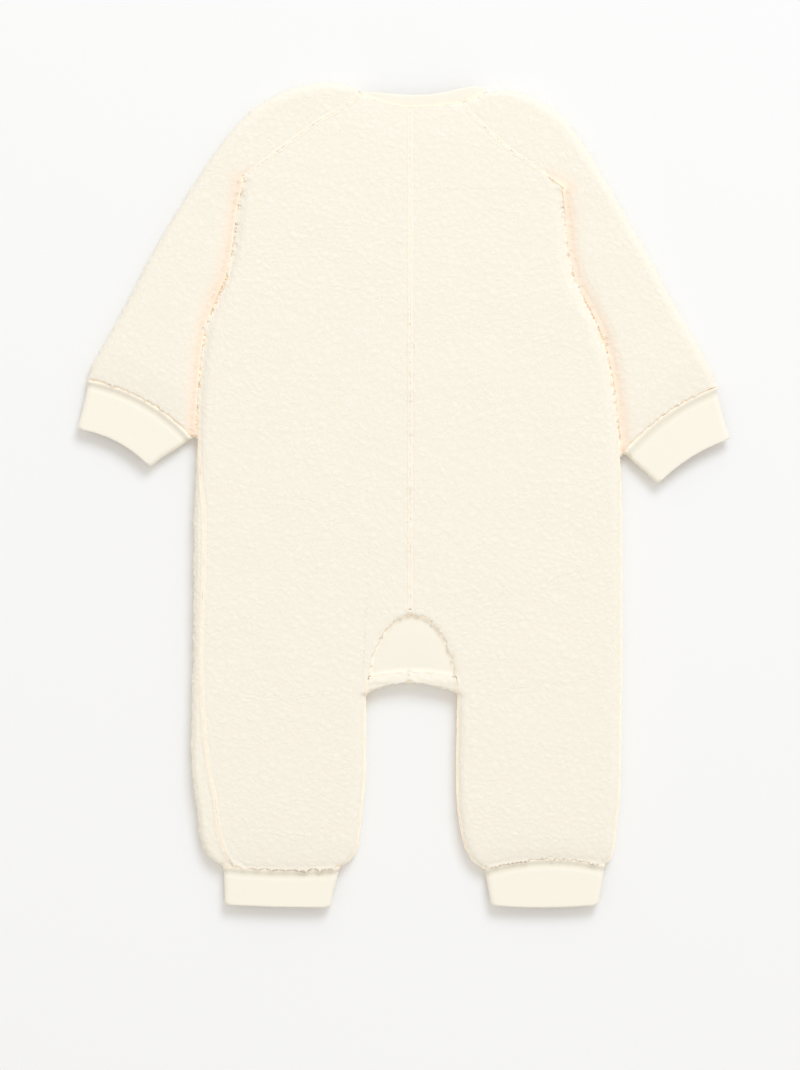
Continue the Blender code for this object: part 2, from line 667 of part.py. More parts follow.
def build_cuff(side, table):
    outer, inner = [], []
    for cuff in table[side]:
        row = Row((cuff.x, cuff.y), (cuff.inner_x, cuff.inner_y), cuff.high - cuff.low, side,
                  cuff.bow)
        outer.append(stadium(row, cuff.low, cuff.high, 0.0))
        inner.append(stadium(row, cuff.low, cuff.high, JERSEY))
    return tube_wall(outer, inner)


# ---- neckband ------------------------------------------------------------------------------
def band_section(seam, rim, z, lean):
    """Across the band, from the seam to the rim and back; lean turns it over at the sides."""
    normal = Vector((math.sin(math.radians(lean)), 0.0, math.cos(math.radians(lean))))
    half = normal * (JERSEY / 2.0)
    start = Vector((seam[0], seam[1], z))
    end = Vector((rim[0], rim[1], z))
    near = start.lerp(end, 0.12)
    far = start.lerp(end, 0.88)
    return [start + half * 0.5, near + half, far + half, end + half * 0.5,
            end - half * 0.5, far - half, near - half, start - half * 0.5]


def build_neckband():
    sections = []
    for band in BACK_BAND:
        sections.append(band_section((band.x, band.y), (band.rim_x, band.rim_y), band.z, band.lean))
    seam = [Vector(point) for point in FRONT_BAND_SEAM]
    middle = Vector((CENTRE, 285.0))
    for place, point in enumerate(seam):
        inward = (middle - point).normalized() * BAND_DEPTH
        outermost = place in (0, len(seam) - 1)
        depth = inward * (0.62 if outermost else 1.0)
        lean = 180.0 + (30.0 if place == len(seam) - 1 else -30.0 if place == 0 else 0.0)
        sections.append(band_section(point, point + depth, FRONT_BAND_Z, lean))
    return closed_band(sections)


# ---- placket and poppers -------------------------------------------------------------------
def build_placket():
    body = bmesh.new()
    bmesh.ops.create_cube(body, size=1.0)
    length = PLACKET_TOP - PLACKET_FOOT
    size = Vector((2.0 * PLACKET_HALF - GAP, length, PLACKET_THICK)) * MM
    bmesh.ops.scale(body, vec=size, verts=body.verts)
    centre = placed((CENTRE, PLACKET_FOOT + length / 2, PLACKET_FLOOR + PLACKET_THICK / 2))
    bmesh.ops.translate(body, vec=centre, verts=body.verts)
    bmesh.ops.bevel(body, geom=body.edges[:], offset=0.6 * MM, segments=2, profile=0.5,
                    affect="EDGES", material=-1)
    return body


def build_popper(index):
    body = bmesh.new()
    bmesh.ops.create_cone(body, cap_ends=True, segments=16, radius1=POPPER_RADIUS * MM,
                          radius2=POPPER_RADIUS * MM, depth=POPPER_HEIGHT * MM)
    rim = [edge for edge in body.edges if abs(edge.verts[0].co.z - edge.verts[1].co.z) < 1e-6]
    bmesh.ops.bevel(body, geom=rim, offset=0.3 * MM, segments=1, profile=0.5, affect="EDGES",
                    material=-1)
    height = PLACKET_FLOOR - GAP - POPPER_HEIGHT / 2
    place = placed((CENTRE, POPPER_TOP - POPPER_PITCH * index, height))
    bmesh.ops.translate(body, vec=place, verts=body.verts)
    return body


# ---- materials and the whole ---------------------------------------------------------------
def make_material(name, colour, roughness, metallic=0.0):
    material = bpy.data.materials.new(name)
    material.use_nodes = True
    shader = material.node_tree.nodes["Principled BSDF"]
    shader.inputs["Base Color"].default_value = (*colour, 1.0)
    shader.inputs["Roughness"].default_value = roughness
    shader.inputs["Metallic"].default_value = metallic
    return material


FLEECE = ((0.90, 0.85, 0.75), 0.95)
JERSEY_LOOK = ((0.92, 0.87, 0.78), 0.85)
POPPER_LOOK = ((0.86, 0.84, 0.80), 0.35)


def build_suit(collection):
    def add(name, body, look):
        add_object(name, body, make_material(name, *look), collection)

    for word, side in (("left", -1), ("right", 1)):
        add(f"back_{word}", build_back(side), FLEECE)
        add(f"front_{word}", build_front(side), FLEECE)
        add(f"sleeve_{word}", build_sleeve(side), FLEECE)
        add(f"cuff_wrist_{word}", build_cuff(side, WRISTS), JERSEY_LOOK)
        add(f"cuff_ankle_{word}", build_cuff(side, ANKLES), JERSEY_LOOK)
    add("gusset", build_gusset(), JERSEY_LOOK)
    add("neckband", build_neckband(), JERSEY_LOOK)
    add("placket", build_placket(), JERSEY_LOOK)
    for index in range(POPPER_COUNT):
        add(f"popper_{index + 1}", build_popper(index), POPPER_LOOK)


def main():
    for old in list(bpy.data.objects):
        bpy.data.objects.remove(old, do_unlink=True)
    collection = bpy.data.collections.new("fleece_sleepsuit")
    bpy.context.scene.collection.children.link(collection)
    build_suit(collection)


main()
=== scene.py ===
"""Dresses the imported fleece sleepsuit: its curly pile, its jersey, its press studs and its table.

Every cloth piece is its own solid from the frame, cut finer and modelled on: the fleece gets its
clumps of pile, the jersey its rolled seams and folds. Lengths in the settings are in metres.
"""

import math

import bmesh
import bpy
import numpy as np
from bpy.props import FloatProperty, FloatVectorProperty, PointerProperty
from bpy.types import Operator, Panel, PropertyGroup
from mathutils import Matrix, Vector
from mathutils.bvhtree import BVHTree


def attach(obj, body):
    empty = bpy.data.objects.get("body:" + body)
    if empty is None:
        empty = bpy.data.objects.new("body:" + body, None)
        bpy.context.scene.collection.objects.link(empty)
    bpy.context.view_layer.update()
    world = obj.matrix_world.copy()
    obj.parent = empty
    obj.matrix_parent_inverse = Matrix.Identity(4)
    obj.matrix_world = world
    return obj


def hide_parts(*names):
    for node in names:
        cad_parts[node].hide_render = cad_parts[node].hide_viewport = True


bl_info = {
    "name": "Fleece sleepsuit",
    "version": (1, 0, 0),
    "blender": (4, 5, 0),
    "location": "3D View > Sidebar > Sleepsuit",
    "description": "Curly fleece, jersey bands and press studs for a laid-out baby's sleepsuit",
    "category": "Object",
}

MM = 0.001
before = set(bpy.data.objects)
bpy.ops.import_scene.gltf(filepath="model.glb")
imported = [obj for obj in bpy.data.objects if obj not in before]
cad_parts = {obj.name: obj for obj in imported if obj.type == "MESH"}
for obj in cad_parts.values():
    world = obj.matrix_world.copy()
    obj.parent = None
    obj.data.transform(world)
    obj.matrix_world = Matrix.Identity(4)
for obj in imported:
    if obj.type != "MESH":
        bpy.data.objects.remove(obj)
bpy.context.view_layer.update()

PIXEL = 0.65 * MM           # of the photograph, on the garment
PHOTO_TALL = 1070           # pixels
VIEW_CENTRE = (-2.5 * MM, -26.0 * MM)
PILE_TOP = 8.0 * MM         # height at which the photograph's scale holds
OUTLOOK = 3.0               # from the lens to the table
SIDES = (("left", -1), ("right", 1))
FACES_UP = 0.93             # a surface that rises more than this has no neighbour beside it
SHOWN, HIDDEN, UNDER = 0, 1, 2      # kinds of face
TOUCH = 0.02 * MM
HIDDEN_GAP = 1.1 * MM       # a face closer than this to the next layer is hidden by it
TABLE_GAP = 0.8 * MM
COARSE = 9.0 * MM           # longest edge of a hidden face
HALVINGS = 7                # takes a 300 mm edge below that
SEAM_REACH = 5.0 * MM       # edges this close to each other are drawn together
SEAM_EDGE = 2.4 * MM        # width beside a seam where the pile lies level
CLEAR = 0.005 * MM          # left between two edges at a seam
SIDEWAYS = (0.25, 0.75)     # level share of a way from which an edge is drawn, and drawn wholly
MERGE = 1e-6                # two corners this close are one
NO_LENGTH = 1e-20           # keeps a sum of no normals from dividing by nothing


# ---- settings ------------------------------------------------------------------------------
class FleeceSettings(PropertyGroup):
    crest: FloatVectorProperty(
        name="Curl tips", description="Colour of the pile's tips", subtype="COLOR",
        default=(0.935, 0.895, 0.79), min=0.0, max=1.0)
    # Painted shade: the darker colour down between the curls stands in for the shade there; the
    # tips take the lighter colour.
    crease: FloatVectorProperty(
        name="Between curls", description="Colour down between the curls", subtype="COLOR",
        default=(0.925, 0.865, 0.745), min=0.0, max=1.0)
    # Painted shade: a warm, darker colour for the shade and bounce light on a sleeve under the
    # body's edge and along seams.
    painted_warm_shade: FloatVectorProperty(
        name="Under the body's edge", description="Colour of a sleeve where the body lies over it",
        subtype="COLOR", default=(0.99, 0.81, 0.65), min=0.0, max=1.0)
    # Painted light: an emission colour standing in for light that passes through the pile.
    glow: FloatVectorProperty(
        name="Light through the pile", description="Glow of the pile beside another layer",
        subtype="COLOR", default=(0.55, 0.42, 0.29), min=0.0, max=1.0)
    clump: FloatProperty(
        name="Clump size", description="Width of one clump of pile", unit="LENGTH",
        default=4.0 * MM, min=2.0 * MM, max=9.0 * MM)
    depth: FloatProperty(
        name="Pile relief", description="From the clumps' tips to the creases between them",
        unit="LENGTH", default=0.42 * MM, min=0.2 * MM, max=4.0 * MM)
    fuzz: FloatProperty(
        name="Edge tufts", description="How ragged the pile is where it is seen from the side",
        unit="LENGTH", default=0.9 * MM, min=0.0, max=2.0 * MM)
    grid: FloatProperty(
        name="Mesh size", description="Longest edge on the fleece that shows", unit="LENGTH",
        default=1.7 * MM, min=0.6 * MM, max=4.0 * MM)
    under_grid: FloatProperty(
        name="Underside mesh size", description="Longest edge where the suit lies on the table",
        unit="LENGTH", default=5.0 * MM, min=0.8 * MM, max=9.0 * MM)


class JerseySettings(PropertyGroup):
    colour: FloatVectorProperty(
        name="Jersey", description="Colour of the smooth bands", subtype="COLOR",
        default=(0.935, 0.885, 0.77), min=0.0, max=1.0)
    # Painted shade: darker colour between the knit stitches; with the blotches it also gives a
    # random uneven tone.
    shade: FloatVectorProperty(
        name="Stitch shade", description="Colour between the knit stitches", subtype="COLOR",
        default=(0.89, 0.825, 0.69), min=0.0, max=1.0)
    # Painted shade: darker colour in the trough below a cuff's seam, where shade falls.
    crease: FloatVectorProperty(
        name="Below a seam", description="Colour in the trough below a cuff's seam",
        subtype="COLOR", default=(0.80, 0.75, 0.63), min=0.0, max=1.0)
    # Painted light: an emission colour that lifts the shade where the jersey meets the pile.
    glow: FloatVectorProperty(
        name="Light at a seam", description="Glow of the jersey where it meets the pile",
        subtype="COLOR", default=(0.20, 0.135, 0.09), min=0.0, max=1.0)
    wale: FloatProperty(
        name="Wale", description="Width of one column of stitches", unit="LENGTH",
        default=1.0 * MM, min=0.4 * MM, max=3.0 * MM)
    grid: FloatProperty(
        name="Mesh size", description="Longest edge of the jersey's mesh", unit="LENGTH",
        default=1.6 * MM, min=0.6 * MM, max=6.0 * MM)
    roll: FloatProperty(
        name="Seam roll", description="How far a cuff's seam stands up", unit="LENGTH",
        default=0.8 * MM, min=0.0, max=2.0 * MM)


class StudSettings(PropertyGroup):
    colour: FloatVectorProperty(
        name="Press studs", description="Colour of the moulded studs", subtype="COLOR",
        default=(0.86, 0.83, 0.76), min=0.0, max=1.0)
    shade: FloatVectorProperty(
        name="Mottle", description="Darker tone in the moulding", subtype="COLOR",
        default=(0.80, 0.765, 0.69), min=0.0, max=1.0)


class StudioSettings(PropertyGroup):
    table: FloatVectorProperty(
        name="Table", description="Colour of the surface under the suit", subtype="COLOR",
        default=(0.90, 0.90, 0.895), min=0.0, max=1.0)
    room: FloatVectorProperty(
        name="Room colour", description="Colour of the light from all round", subtype="COLOR",
        default=(1.0, 0.97, 0.93), min=0.0, max=2.0)
    sky: FloatVectorProperty(
        name="Window colour", description="Colour of the light from the window", subtype="COLOR",
        default=(1.0, 1.09, 1.21), min=0.0, max=2.0)
    daylight: FloatProperty(
        name="Daylight", description="Light from all round", default=0.80, min=0.0, max=4.0)
    window: FloatProperty(
        name="Window", description="Power of the big soft light above the neck", unit="POWER",
        default=112.0, min=0.0, max=500.0)


# ---- noise ---------------------------------------------------------------------------------
CELL_MIX = np.array((127.1, 311.7, 74.7))
SEED_MIX = 19.19
SPREAD = 43758.5453
CREASE_WIDTH = 0.22         # of a clump
DOME = 0.45                 # how far a clump falls away round its tip
LOW_LOFT = 0.62             # of the lowest clump, where the highest is 1


def scatter(cells, seed):
    """A repeatable number from 0 to 1 for each cell, given as rows of three whole numbers."""
    shuffled = np.sin(cells @ CELL_MIX + seed * SEED_MIX) * SPREAD
    return shuffled - np.floor(shuffled)


def soft_noise(points, seed):
    """Smooth noise from -1 to 1 that changes over one unit."""
    cells = np.floor(points)
    inside = points - cells
    ease = inside * inside * (3.0 - 2.0 * inside)
    total = np.zeros(len(points))
    for corner in np.ndindex(2, 2, 2):
        share = np.prod(np.where(corner, ease, 1.0 - ease), axis=1)
        total += share * scatter(cells + corner, seed)
    return 2.0 * total - 1.0


def clumps(points, seed):
    """Round clumps one unit wide: height from 0 in the creases to 1 on the highest tips."""
    cells = np.floor(points)
    nearest = np.full(len(points), 9.0)
    second = np.full(len(points), 9.0)
    loft = np.zeros(len(points))
    for step in np.ndindex(3, 3, 3):
        cell = cells + np.array(step) - 1.0
        seat = cell + np.stack([scatter(cell, seed + axis) for axis in (1, 2, 3)], axis=1)
        away = np.linalg.norm(points - seat, axis=1)
        closer = away < nearest
        second = np.where(closer, nearest, np.minimum(second, away))
        loft = np.where(closer, scatter(cell, seed + 4), loft)
        nearest = np.where(closer, away, nearest)
    crease = 1.0 - np.exp(-(second - nearest) / CREASE_WIDTH)
    dome = 1.0 - DOME * np.clip(nearest, 0.0, 1.0) ** 2
    return crease * dome * (LOW_LOFT + (1.0 - LOW_LOFT) * loft)


# ---- mesh helpers --------------------------------------------------------------------------
def closed_copy(node):
    """The node's own mesh as a bmesh, its loose triangles merged."""
    body = bmesh.new()
    body.from_mesh(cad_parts[node].data)
    bmesh.ops.remove_doubles(body, verts=body.verts[:], dist=MERGE)
    return body


def add_piece(name, mesh, material, slot, *nodes):
    """Link a finished mesh as a piece that rides on the suit and stands for CAD nodes."""
    mesh.polygons.foreach_set("material_index", np.zeros(len(mesh.polygons), int))
    mesh.materials.append(material)
    mesh.shade_smooth()
    piece = bpy.data.objects.new(name, mesh)
    bpy.context.scene.collection.objects.link(piece)
    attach(piece, "root")
    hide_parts(*nodes)
    return piece


def split_long(body, longest, kinds):
    """Halve the edges of faces of these kinds until none of them is longer."""
    for turn in range(HALVINGS):
        long_edges = [edge for edge in body.edges if edge.calc_length() > longest
                      and any(face.material_index in kinds for face in edge.link_faces)]
        if not long_edges:
            return
        bmesh.ops.subdivide_edges(body, edges=long_edges, cuts=1)
        odd = [face for face in body.faces if len(face.verts) > 3]
        bmesh.ops.triangulate(body, faces=odd, quad_method="SHORT_EDGE")


def sort_faces(body, solids):
    """Mark each face as shown, hidden against the next layer, or lying on the table."""
    own = BVHTree.FromBMesh(body)
    for face in body.faces:
        start = face.calc_center_median() + face.normal * TOUCH
        near = [tree.ray_cast(start, face.normal, HIDDEN_GAP)[3] for tree in (own, solids)]
        if any(distance is not None for distance in near):
            face.material_index = HIDDEN
        elif face.normal.z < -FACES_UP and start.z < TABLE_GAP:
            face.material_index = UNDER
        else:
            face.material_index = SHOWN


def cut_fine(node, shown, under, eased):
    """The node's solid with its shown faces cut this fine and eased; hidden ones stay coarse."""
    body = closed_copy(node)
    solids = neighbours_of(node)
    bmesh.ops.triangulate(body, faces=body.faces[:])
    split_long(body, COARSE, (0,))
    body.normal_update()
    sort_faces(body, solids)
    split_long(body, under, (SHOWN, UNDER))
    split_long(body, shown, (SHOWN,))
    free = [vert for vert in body.verts
            if all(face.material_index != HIDDEN for face in vert.link_faces)]
    for turn in range(eased):
        bmesh.ops.smooth_vert(body, verts=free, factor=0.5, use_axis_x=True, use_axis_y=True,
                              use_axis_z=True)
    for edge in body.edges:
        kinds = [face.material_index == HIDDEN for face in edge.link_faces]
        edge.smooth = all(kinds) or not any(kinds)
    mesh = bpy.data.meshes.new(node)
    body.to_mesh(mesh)
    body.free()
    return mesh, solids


def read_points(mesh):
    """Every point's place, the way that it faces, and its normal from the shown faces alone.

    On a wall against the next layer, and on the wall's rim, it faces as the wall does. The last
    normal is zero where no face shows.
    """
    places = np.zeros(len(mesh.vertices) * 3)
    mesh.vertices.foreach_get("co", places)
    count = len(mesh.polygons)
    facing = np.zeros(count * 3)
    mesh.polygons.foreach_get("normal", facing)
    area = np.zeros(count)
    mesh.polygons.foreach_get("area", area)
    kind = np.zeros(count, int)
    mesh.polygons.foreach_get("material_index", kind)
    corners = np.zeros(count * 3, int)
    mesh.loops.foreach_get("vertex_index", corners)
    weighted = np.repeat(facing.reshape(-1, 3) * area[:, None], 3, axis=0)
    hidden = np.repeat(kind == HIDDEN, 3)
    normals = []
    for chosen in (np.ones_like(hidden), ~hidden, hidden):
        total = np.zeros((len(mesh.vertices), 3))
        np.add.at(total, corners[chosen], weighted[chosen])
        length = np.linalg.norm(total, axis=1)
        normals.append(total / np.maximum(length, NO_LENGTH)[:, None])
    whole, shown, walls = normals
    at_wall = np.abs(walls).sum(axis=1) > 0.0
    return places.reshape(-1, 3), np.where(at_wall[:, None], walls, whole), shown


def write_points(mesh, places):
    """Move every point of the mesh to its new place."""
    mesh.vertices.foreach_set("co", places.ravel())
    mesh.update()


def keep(mesh, name, values):
    """Store one number for each point, for the material to read."""
    layer = mesh.attributes.new(name, "FLOAT", "POINT")
    layer.data.foreach_set("value", values.astype(np.float32))


def neighbours_of(node, *starts):
    """A search tree of the other solids, or of those whose names start like this."""
    others = bmesh.new()
    for name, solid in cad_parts.items():
        if name != node and name.startswith(starts or ""):
            others.from_mesh(solid.data)
    tree = BVHTree.FromBMesh(others)
    others.free()
    return tree


def room_beyond(places, ways, tree, reach):
    """Free distance from each point along its way, up to reach; the whole reach without a way."""
    free = np.full(len(places), reach)
    for index in np.flatnonzero(np.abs(ways).sum(axis=1) > 0.0):
        hit = tree.ray_cast(Vector(places[index]), Vector(ways[index]), reach)
        if hit[3] is not None:
            free[index] = hit[3]
    return free


def distance_to(places, tree, reach):
    """Distance from each point to the nearest of the tree's solids, up to reach."""
    near = np.full(len(places), reach)
    for index, place in enumerate(places):
        hit = tree.find_nearest(Vector(place), reach)
        if hit[3] is not None:
            near[index] = hit[3]
    return near


def ramp(values, start, end):
    """0 at start, 1 at end and smooth between them."""
    share = np.clip((values - start) / (end - start), 0.0, 1.0)
    return share * share * (3.0 - 2.0 * share)


def shut_seams(places, normals, tree):
    """Bring the two edges of a seam together, almost to touching."""
    level = normals * (1.0, 1.0, 0.0)
    length = np.linalg.norm(level, axis=1)
    level /= np.maximum(length, MERGE)[:, None]
    level[length < SIDEWAYS[0]] = 0.0
    free = room_beyond(places, level, tree, SEAM_REACH)
    step = np.where(free < SEAM_REACH, 0.5 * free - CLEAR, 0.0) * ramp(length, *SIDEWAYS)
    return places + level * np.maximum(step, 0.0)[:, None]


# ---- node groups ---------------------------------------------------------------------------
def new_group(name, inputs, outputs):
    """An empty node group with these sockets, its input node and its output node."""
    group = bpy.data.node_groups.new(name, "ShaderNodeTree")
    for label, kind, default in inputs:
        socket = group.interface.new_socket(label, in_out="INPUT", socket_type=kind)
        socket.default_value = default
    for label, kind in outputs:
        group.interface.new_socket(label, in_out="OUTPUT", socket_type=kind)
    return group, group.nodes.new("NodeGroupInput"), group.nodes.new("NodeGroupOutput")


def maths(tree, operation, first, second=None, third=None):
    """A Math node; a number or a socket for each input."""
    node = tree.nodes.new("ShaderNodeMath")
    node.operation = operation
    for socket, value in zip(node.inputs, (first, second, third)):
        if isinstance(value, bpy.types.NodeSocket):
            tree.links.new(value, socket)
        elif value is not None:
            socket.default_value = value
    return node.outputs[0]


def mixed(tree, share, first, second):
    """A colour mix; a value or a socket for each input."""
    node = tree.nodes.new("ShaderNodeMix")
    node.data_type = "RGBA"
    slots = (node.inputs[0], node.inputs[6], node.inputs[7])     # factor and the two colours
    for socket, value in zip(slots, (share, first, second)):
        if isinstance(value, bpy.types.NodeSocket):
            tree.links.new(value, socket)
        else:
            socket.default_value = value
    return node.outputs[2]


def clamped(tree, value):
    """The value, held between 0 and 1."""
    node = tree.nodes.new("ShaderNodeClamp")
    tree.links.new(value, node.inputs["Value"])
    return node.outputs[0]


def noise(tree, place, scale, detail):
    """A noise texture at this place."""
    node = tree.nodes.new("ShaderNodeTexNoise")
    node.inputs["Scale"].default_value = scale
    node.inputs["Detail"].default_value = detail
    tree.links.new(place, node.inputs["Vector"])
    return node


CURL_BEND_SCALE, CURL_BEND = 420.0, 2.2 * MM    # the curls wander by this much
CURL_SOFTNESS = 0.4
FIBRE_SCALE, FIBRE_SHARE = 1900.0, 0.8      # fibres on a curl, and their height against its own
CREASE_LEVEL = 0.2          # clump height up to which the pile has the crease's colour, its painted shade
CURL_SHARE = 0.35           # painted light: how far a curl's round top lightens it


def pile_group():
    """Fine curls on the clumps: their height, and their colour with painted shade down in the
    creases and painted light on the curls' tops.
    """
    group, given, made = new_group(
        "curly pile",
        [("Clump height", "NodeSocketFloat", 0.5), ("Tips", "NodeSocketColor", (1, 1, 1, 1)),
         ("Creases", "NodeSocketColor", (1, 1, 1, 1)), ("Curl size", "NodeSocketFloat", 0.0011)],
        [("Colour", "NodeSocketColor"), ("Curls", "NodeSocketFloat")])
    nodes, links = group.nodes, group.links
    place = nodes.new("ShaderNodeTexCoord").outputs["Object"]
    scale = maths(group, "DIVIDE", 1.0, given.outputs["Curl size"])
    bend = noise(group, place, CURL_BEND_SCALE, 2.0)
    shift = nodes.new("ShaderNodeVectorMath")
    shift.operation = "SCALE"
    shift.inputs["Scale"].default_value = CURL_BEND
    links.new(bend.outputs["Color"], shift.inputs[0])
    warped = nodes.new("ShaderNodeVectorMath")
    warped.operation = "ADD"
    links.new(place, warped.inputs[0])
    links.new(shift.outputs["Vector"], warped.inputs[1])
    curl = nodes.new("ShaderNodeTexVoronoi")
    curl.feature = "SMOOTH_F1"
    curl.inputs["Smoothness"].default_value = CURL_SOFTNESS
    links.new(warped.outputs["Vector"], curl.inputs["Vector"])
    links.new(scale, curl.inputs["Scale"])
    fibre = noise(group, warped.outputs["Vector"], FIBRE_SCALE, 3.0)
    round_top = maths(group, "SUBTRACT", 1.0, curl.outputs["Distance"])
    curls = maths(group, "MULTIPLY_ADD", fibre.outputs["Fac"], FIBRE_SHARE, round_top)
    links.new(curls, made.inputs["Curls"])
    base = maths(group, "SUBTRACT", given.outputs["Clump height"], CREASE_LEVEL)
    lit = maths(group, "MULTIPLY_ADD", round_top, CURL_SHARE, base)
    colour = mixed(group, clamped(group, lit), given.outputs["Creases"], given.outputs["Tips"])
    links.new(colour, made.inputs["Colour"])
    return group


STITCH_SLANT = 1.1          # of the two legs of a V
COURSES = 1.25              # rows of stitches to a wale's width
LOOP_SHARE = 0.28           # of the rows in the relief, where the columns have the rest
# Painted shade: the stitches darken the knit between them and lighten its raised parts; the
# blotches are a random tone.
LIGHT = 0.5                 # how far the cloth is from its shade to its full colour,
STITCH_TONE = 0.3           # what its stitches add,
BLOTCH_SCALE, BLOTCH_SHARE = 90.0, 0.7      # and what its uneven tone adds


def knit_group():
    """Plain knit: columns of small V stitches, with painted shade between them and a random uneven
    tone.
    """
    group, given, made = new_group(
        "plain knit",
        [("Place", "NodeSocketVector", (0, 0, 0)), ("Wale", "NodeSocketFloat", 0.001),
         ("Jersey", "NodeSocketColor", (1, 1, 1, 1)), ("Shade", "NodeSocketColor", (1, 1, 1, 1))],
        [("Colour", "NodeSocketColor"), ("Stitches", "NodeSocketFloat")])
    nodes, links = group.nodes, group.links
    apart = nodes.new("ShaderNodeSeparateXYZ")
    links.new(given.outputs["Place"], apart.inputs[0])
    across = maths(group, "DIVIDE", apart.outputs["X"], given.outputs["Wale"])
    down = maths(group, "DIVIDE", apart.outputs["Y"], given.outputs["Wale"])
    fold = maths(group, "PINGPONG", across, 0.5)
    slant = maths(group, "MULTIPLY_ADD", fold, STITCH_SLANT,
                  maths(group, "MULTIPLY", down, COURSES))
    loop = maths(group, "SINE", maths(group, "MULTIPLY", slant, 2.0 * math.pi))
    column = maths(group, "SINE", maths(group, "MULTIPLY", fold, 2.0 * math.pi))
    stitch = maths(group, "MULTIPLY_ADD", loop, LOOP_SHARE,
                   maths(group, "MULTIPLY", column, 1.0 - LOOP_SHARE))
    links.new(stitch, made.inputs["Stitches"])
    blotch = noise(group, given.outputs["Place"], BLOTCH_SCALE, 3.0)
    light = maths(group, "MULTIPLY_ADD", stitch, STITCH_TONE,
                  maths(group, "MULTIPLY_ADD", blotch.outputs["Fac"], BLOTCH_SHARE, LIGHT))
    colour = mixed(group, clamped(group, light), given.outputs["Shade"], given.outputs["Jersey"])
    links.new(colour, made.inputs["Colour"])
    return group


def group_named(name, maker):
    """The node group of this name, made the first time that it is asked for."""
    return bpy.data.node_groups.get(name) or maker()


# ---- materials -----------------------------------------------------------------------------
SHEEN_TINT = (1.0, 0.97, 0.92, 1.0)
CREASE_SHARE = 0.6          # of the crease's painted shade at the bottom of a cuff's trough
CURL_RELIEF, STITCH_RELIEF = 0.35 * MM, 0.15 * MM
MOTTLE_SCALE, MOTTLE_RELIEF = 700.0, 0.05 * MM


def new_material(name, roughness, specular=None, sheen=None):
    """A material with these values on its Principled shader; sheen is weight and roughness."""
    material = bpy.data.materials.new(name)
    material.use_nodes = True
    material.cycles.emission_sampling = "NONE"      # its faint glow is no lamp
    shader = material.node_tree.nodes["Principled BSDF"]
    shader.inputs["Roughness"].default_value = roughness
    if specular is not None:
        shader.inputs["Specular IOR Level"].default_value = specular
    if sheen:
        shader.inputs["Sheen Weight"].default_value = sheen[0]
        shader.inputs["Sheen Roughness"].default_value = sheen[1]
    return material, material.node_tree, shader


def bumped(tree, shader, height, strength, distance):
    """Raise the surface by this height, as far as distance."""
    bump = tree.nodes.new("ShaderNodeBump")
    bump.inputs["Strength"].default_value = strength
    bump.inputs["Distance"].default_value = distance
    tree.links.new(height, bump.inputs["Height"])
    tree.links.new(bump.outputs["Normal"], shader.inputs["Normal"])


def stored(tree, name):
    """The node that reads a value stored on the mesh."""
    node = tree.nodes.new("ShaderNodeAttribute")
    node.attribute_name = name
    return node


def glowing(tree, shader, colour):
    """Painted light: an emission that stands in for light coming through the cloth, as far as the
    mesh says.
    """
    dark = (0.0, 0.0, 0.0, 1.0)
    through = mixed(tree, stored(tree, "glow").outputs["Fac"], dark, (*colour, 1.0))
    tree.links.new(through, shader.inputs["Emission Color"])
    shader.inputs["Emission Strength"].default_value = 1.0


def fleece_material():
    """Long cream pile, with painted shade between its curls, a painted warm shade where a sleeve
    lies under the body's edge and along seams, and a little painted glow beside a layer.
    """
    found = bpy.data.materials.get("cream fleece")
    if found:
        return found
    fleece = bpy.context.scene.suit_fleece
    material, tree, shader = new_material("cream fleece", 0.95, 0.0, (0.25, 0.6))
    shader.inputs["Sheen Tint"].default_value = SHEEN_TINT
    pile = tree.nodes.new("ShaderNodeGroup")
    pile.node_tree = group_named("curly pile", pile_group)
    height = stored(tree, "clump_height")
    tree.links.new(height.outputs["Fac"], pile.inputs["Clump height"])
    # Painted shade and light: low clumps take the darker crease colour, high ones and curl tops the
    # lighter tip colour.
    pile.inputs["Tips"].default_value = (*fleece.crest, 1.0)
    pile.inputs["Creases"].default_value = (*fleece.crease, 1.0)
    # Painted warm shade under the body's edge and along seams.
    painted_warm_shade = stored(tree, "painted_warm_shade").outputs["Fac"]
    shaded = mixed(tree, painted_warm_shade, pile.outputs["Colour"], (*fleece.painted_warm_shade, 1.0))
    tree.links.new(shaded, shader.inputs["Base Color"])
    glowing(tree, shader, fleece.glow)
    bumped(tree, shader, pile.outputs["Curls"], 0.5, CURL_RELIEF)
    return material


def knitted(tree, shader, place):
    """The plain knit's node at this place, its stitches raised."""
    jersey = bpy.context.scene.suit_jersey
    knit = tree.nodes.new("ShaderNodeGroup")
    knit.node_tree = group_named("plain knit", knit_group)
    tree.links.new(place, knit.inputs["Place"])
    knit.inputs["Wale"].default_value = jersey.wale
    knit.inputs["Jersey"].default_value = (*jersey.colour, 1.0)
    knit.inputs["Shade"].default_value = (*jersey.shade, 1.0)
    bumped(tree, shader, knit.outputs["Stitches"], 0.35, STITCH_RELIEF)
    return knit.outputs["Colour"]


def jersey_material():
    """Smooth cream knit, with painted shade in the trough below a cuff's seam and a painted glow
    where it meets the pile.
    """
    found = bpy.data.materials.get("cream jersey")
    if found:
        return found
    jersey = bpy.context.scene.suit_jersey
    material, tree, shader = new_material("cream jersey", 0.85, 0.2, (0.1, 0.5))
    knit = knitted(tree, shader, stored(tree, "grain").outputs["Vector"])
    # Painted shade in a cuff's trough.
    depth = maths(tree, "MULTIPLY", stored(tree, "crease").outputs["Fac"], CREASE_SHARE)
    creased = mixed(tree, depth, knit, (*jersey.crease, 1.0))
    tree.links.new(creased, shader.inputs["Base Color"])
    glowing(tree, shader, jersey.glow)
    return material


